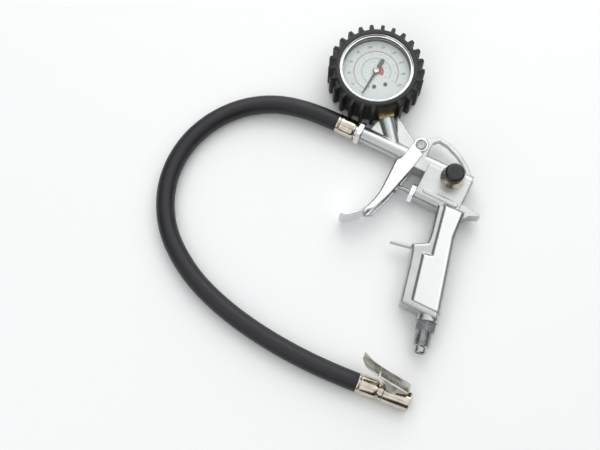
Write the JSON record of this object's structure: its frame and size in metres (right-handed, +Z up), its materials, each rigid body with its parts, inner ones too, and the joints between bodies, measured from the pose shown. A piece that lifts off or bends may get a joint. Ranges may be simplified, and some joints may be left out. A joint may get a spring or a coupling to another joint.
{
  "type": "tyre inflator gun",
  "caption": "Cast pistol-grip tyre inflator with a lever trigger, booted dial gauge, side bleed button, inlet nipple and a rubber hose ending in a clip-on chuck",
  "frame": {"origin": "middle of the base of the box round the gun, with the hose and chuck left out, on the surface it lies on", "axes": "+Z up off the surface it lies on; +X back along the barrel towards the hand; +Y up the gun towards the gauge"},
  "size_m": [0.2612, 0.2838, 0.036],
  "materials": {
    "cast_aluminium": "polished die casting",
    "chrome_steel": "bright chrome plate",
    "zinc_steel": "bright zinc plate",
    "steel": "plain turned steel",
    "brass": "pale turned brass",
    "nickel_brass": "nickel plate over brass, warm tint",
    "lever_steel": "yellow zinc plate, worn",
    "black_rubber": "matt moulded rubber",
    "hose_rubber": "smooth black rubber hose",
    "seal_rubber": "nitrile rubber",
    "black_plastic": "moulded black plastic",
    "clear_lens": "clear flat lens",
    "dial_white": "white enamelled dial with a plain scale",
    "needle_black": "black painted pointer"
  },
  "bodies": {
    "gun": {"gun_body": "cast_aluminium", "trigger_pin": "steel", "gland_nut": "zinc_steel", "gland_packing": "seal_rubber", "valve_sleeve": "brass", "valve_seat": "brass", "valve_spring": "steel", "bleed_collar": "nickel_brass", "bleed_spring": "steel", "gauge_case": "chrome_steel", "gauge_bezel": "chrome_steel", "lens_gasket": "seal_rubber", "gauge_lens": "clear_lens", "gauge_boot": "black_rubber", "gauge_stem": "brass", "bourdon_tube": "brass", "bourdon_tip": "brass", "movement_plates": "brass", "hairspring": "brass", "gauge_dial": "dial_white", "dial_screws": "steel", "needle_stop": "steel", "inlet_nipple": "steel", "hose_tube": "hose_rubber", "hose_fitting": "zinc_steel", "hose_end_gun": "hose_rubber", "hose_ferrule_gun": "zinc_steel", "hose_end_chuck": "hose_rubber", "hose_ferrule_chuck": "zinc_steel", "chuck_barb": "nickel_brass", "chuck_seal": "seal_rubber", "chuck_depressor": "brass", "chuck_body": "nickel_brass", "chuck_lever_pin": "steel", "chuck_spring": "steel"},
    "trigger_lever": {"trigger": "chrome_steel"},
    "valve_stem": {"push_rod": "steel", "poppet_seal": "seal_rubber", "valve_poppet": "brass"},
    "bleed_button": {"bleed_cap": "black_plastic", "bleed_stem": "brass", "bleed_seal": "seal_rubber"},
    "gear_sector": {"sector_gear": "brass"},
    "tube_link": {"gauge_link": "brass"},
    "needle": {"needle_spindle": "steel", "gauge_needle": "needle_black", "needle_cap": "brass"},
    "clip_lever": {"chuck_lever": "lever_steel"}
  },
  "joints": [
    {"name": "trigger_pull", "type": "hinge", "parent": "gun", "child": "trigger_lever", "pos_m": [0.01204, 0.03608, 0.0112], "axis": [0, 0, 1], "range_deg": [0, 8], "stiffness_Nm_per_rad": 0.8, "springref_deg": -5.73, "deforming": ["valve_spring"]},
    {"name": "valve_stroke", "type": "slide", "parent": "gun", "child": "valve_stem", "axis": [1, 0, 0], "range_m": [0, 0.0053]},
    {"name": "bleed_press", "type": "slide", "parent": "gun", "child": "bleed_button", "axis": [0, 0, -1], "range_m": [0, 0.002], "stiffness_N_per_m": 1500, "springref_m": -0.001, "deforming": ["bleed_spring"]},
    {"name": "sector_swing", "type": "hinge", "parent": "gun", "child": "gear_sector", "pos_m": [-0.04061, 0.06795, 0.0155], "axis": [0, 0, 1], "range_deg": [0, 54], "stiffness_Nm_per_rad": 0.002},
    {"name": "needle_turn", "type": "hinge", "parent": "gun", "child": "needle", "pos_m": [-0.04816, 0.07728, 0.0226], "axis": [0, 0, -1], "range_deg": [0, 270]},
    {"name": "link_swing", "type": "hinge", "parent": "gear_sector", "child": "tube_link", "pos_m": [-0.03425, 0.06931, 0.016], "axis": [0, 0, -1], "range_deg": [0, 54]},
    {"name": "chuck_clip", "type": "hinge", "parent": "gun", "child": "clip_lever", "pos_m": [0.07605, -0.14605, 0.01745], "axis": [0.0816, -0.7617, 0.6428], "range_deg": [0, 12], "stiffness_Nm_per_rad": 1.2, "springref_deg": -8.59}
  ],
  "couplings": [
    {"joint": "valve_stroke", "follows": "trigger_pull", "m_per_rad": 0.037},
    {"joint": "needle_turn", "follows": "sector_swing", "ratio": 5},
    {"joint": "link_swing", "follows": "sector_swing", "ratio": 1}
  ]
}
